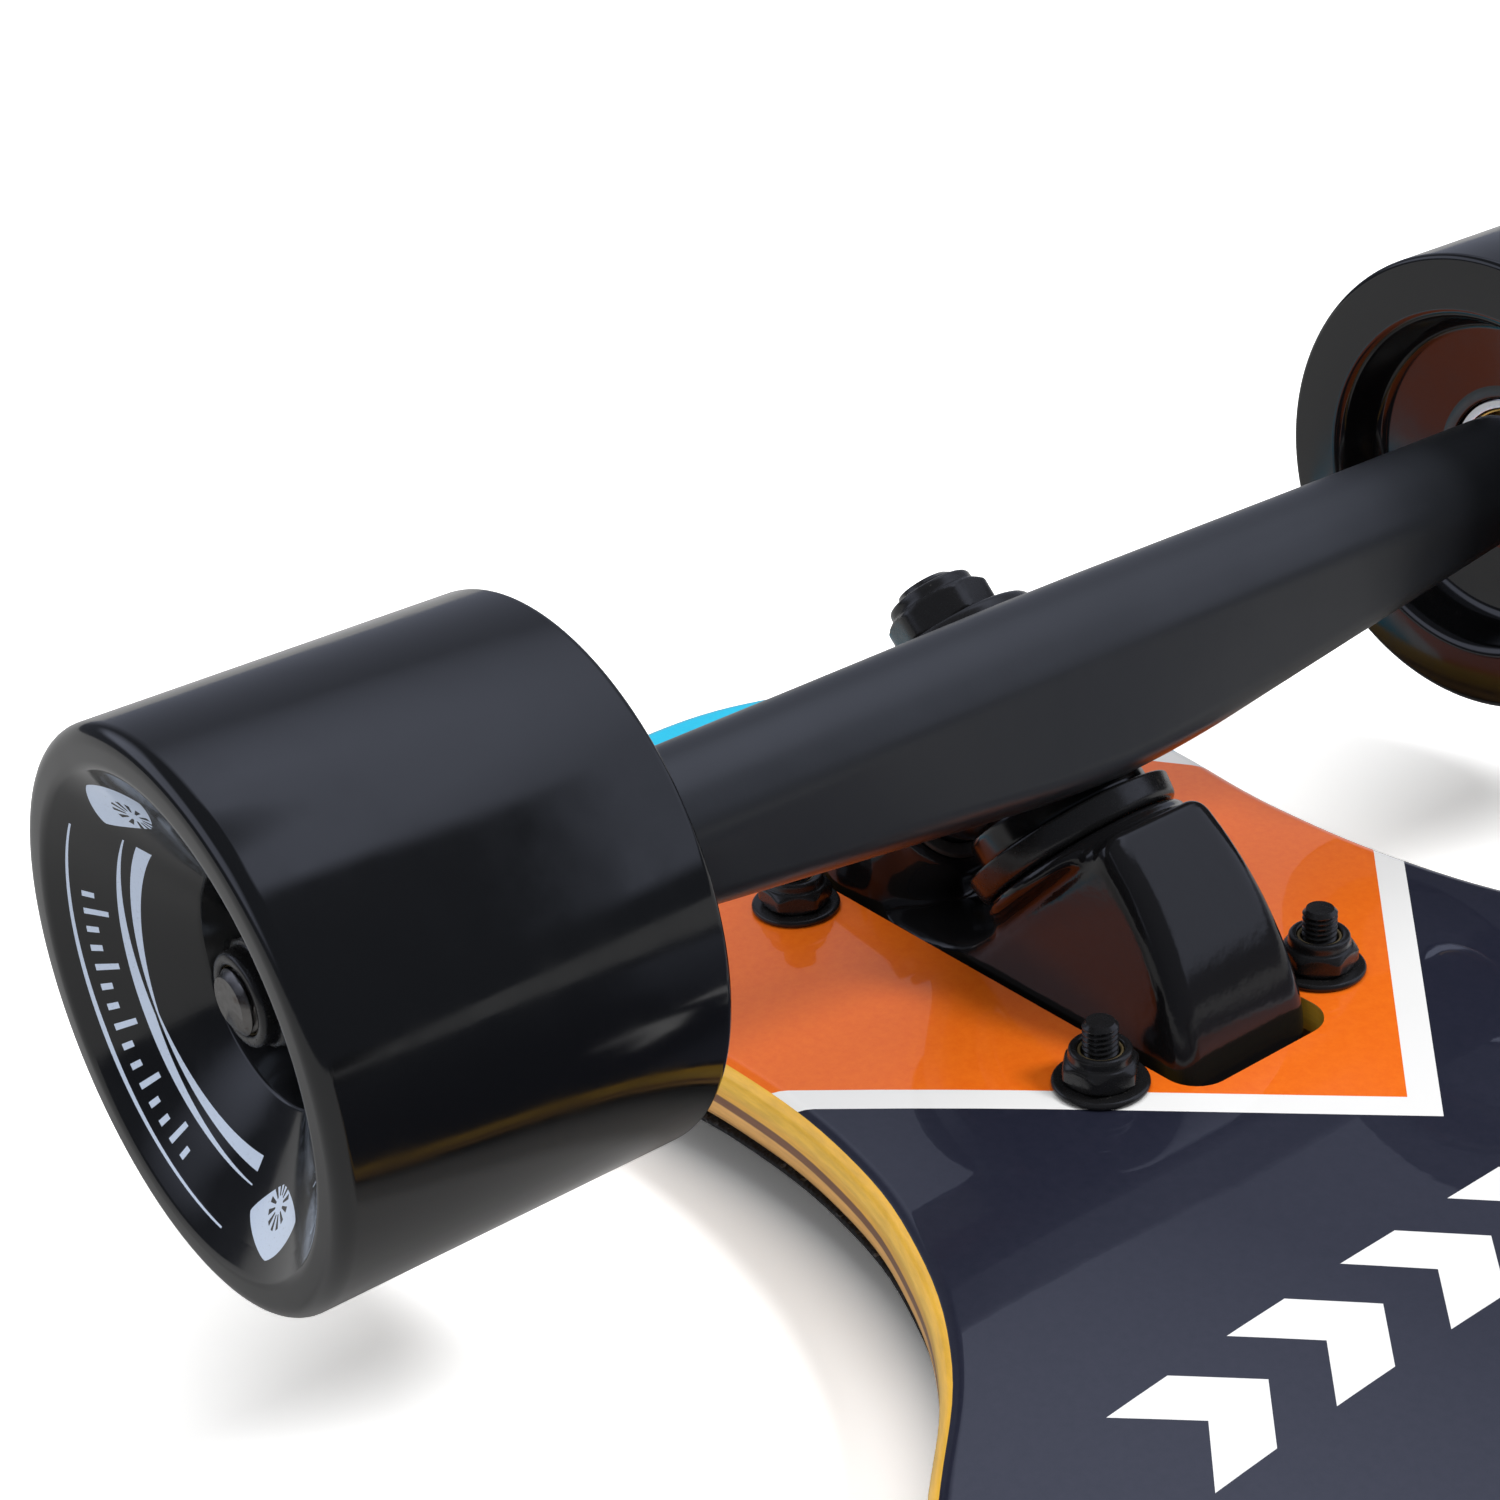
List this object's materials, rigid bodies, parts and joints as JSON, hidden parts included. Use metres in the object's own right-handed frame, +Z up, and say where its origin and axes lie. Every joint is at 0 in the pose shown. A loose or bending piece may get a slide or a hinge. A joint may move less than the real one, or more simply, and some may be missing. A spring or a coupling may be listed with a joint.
{
  "type": "longboard skateboard",
  "caption": "Drop-through longboard upside down: maple deck with concave, grip tape, steering trucks and free-spinning urethane wheels.",
  "frame": {"origin": "middle of the footprint, on the surface that the upside-down board rests on", "axes": "+X along the board from the pictured truck toward the other one, +Y across the board, +Z up, away from the grip tape; turned 180 degrees about X the board is ready to ride, with the front toward -X"},
  "size_m": [1.04, 0.267, 0.1009],
  "materials": {
    "maple": "clear-lacquered maple plies, printed and glossy on the underside",
    "grit": "black abrasive grip sheet",
    "black_paint": "cast aluminium, semi-gloss black paint",
    "black_steel": "black oxide",
    "axle_steel": "plain steel",
    "bearing_steel": "polished steel with shields",
    "bushing_urethane": "glossy black urethane",
    "cup_rubber": "matt black",
    "wheel_urethane": "glossy cast urethane"
  },
  "bodies": {
    "board": {"deck": "maple", "grip_tape": "grit", "front_baseplate": "black_paint", "front_pivot_cup": "cup_rubber", "front_kingpin": "black_steel", "front_kingpin_nut": "black_steel", "front_bushing_boardside": "bushing_urethane", "front_bushing_roadside": "bushing_urethane", "front_washer_boardside": "black_steel", "front_washer_roadside": "black_steel", "front_mounting_bolt_outer_left": "black_steel", "front_mounting_nut_outer_left": "black_steel", "front_mounting_bolt_outer_right": "black_steel", "front_mounting_nut_outer_right": "black_steel", "front_mounting_bolt_inner_left": "black_steel", "front_mounting_nut_inner_left": "black_steel", "front_mounting_bolt_inner_right": "black_steel", "front_mounting_nut_inner_right": "black_steel", "rear_baseplate": "black_paint", "rear_pivot_cup": "cup_rubber", "rear_kingpin": "black_steel", "rear_kingpin_nut": "black_steel", "rear_bushing_boardside": "bushing_urethane", "rear_bushing_roadside": "bushing_urethane", "rear_washer_boardside": "black_steel", "rear_washer_roadside": "black_steel", "rear_mounting_bolt_outer_left": "black_steel", "rear_mounting_nut_outer_left": "black_steel", "rear_mounting_bolt_outer_right": "black_steel", "rear_mounting_nut_outer_right": "black_steel", "rear_mounting_bolt_inner_left": "black_steel", "rear_mounting_nut_inner_left": "black_steel", "rear_mounting_bolt_inner_right": "black_steel", "rear_mounting_nut_inner_right": "black_steel"},
    "front_truck": {"front_hanger": "black_paint", "front_axle": "axle_steel", "front_left_bearing_spacer": "axle_steel", "front_left_axle_nut": "black_steel", "front_right_bearing_spacer": "axle_steel", "front_right_axle_nut": "black_steel"},
    "front_left_wheel": {"front_left_wheel": "wheel_urethane", "front_left_bearing_inboard": "bearing_steel", "front_left_bearing_outboard": "bearing_steel"},
    "front_right_wheel": {"front_right_wheel": "wheel_urethane", "front_right_bearing_inboard": "bearing_steel", "front_right_bearing_outboard": "bearing_steel"},
    "rear_truck": {"rear_hanger": "black_paint", "rear_axle": "axle_steel", "rear_left_bearing_spacer": "axle_steel", "rear_left_axle_nut": "black_steel", "rear_right_bearing_spacer": "axle_steel", "rear_right_axle_nut": "black_steel"},
    "rear_left_wheel": {"rear_left_wheel": "wheel_urethane", "rear_left_bearing_inboard": "bearing_steel", "rear_left_bearing_outboard": "bearing_steel"},
    "rear_right_wheel": {"rear_right_wheel": "wheel_urethane", "rear_right_bearing_inboard": "bearing_steel", "rear_right_bearing_outboard": "bearing_steel"}
  },
  "joints": [
    {"name": "front_steering", "type": "hinge", "parent": "board", "child": "front_truck", "pos_m": [-0.4304, 0, 0.0487], "axis": [0.6947, 0, 0.7193], "range_deg": [-15, 15], "stiffness_Nm_per_rad": 50},
    {"name": "front_left_wheel_spin", "type": "hinge", "parent": "front_truck", "child": "front_left_wheel", "pos_m": [-0.42136, 0.108, 0.06569], "axis": [0, 1, 0], "continuous": true},
    {"name": "front_right_wheel_spin", "type": "hinge", "parent": "front_truck", "child": "front_right_wheel", "pos_m": [-0.42136, -0.108, 0.06569], "axis": [0, 1, 0], "continuous": true},
    {"name": "rear_steering", "type": "hinge", "parent": "board", "child": "rear_truck", "pos_m": [0.4304, 0, 0.0487], "axis": [-0.6947, 0, 0.7193], "range_deg": [-15, 15], "stiffness_Nm_per_rad": 50},
    {"name": "rear_left_wheel_spin", "type": "hinge", "parent": "rear_truck", "child": "rear_left_wheel", "pos_m": [0.42136, 0.108, 0.06569], "axis": [0, 1, 0], "continuous": true},
    {"name": "rear_right_wheel_spin", "type": "hinge", "parent": "rear_truck", "child": "rear_right_wheel", "pos_m": [0.42136, -0.108, 0.06569], "axis": [0, 1, 0], "continuous": true}
  ]
}
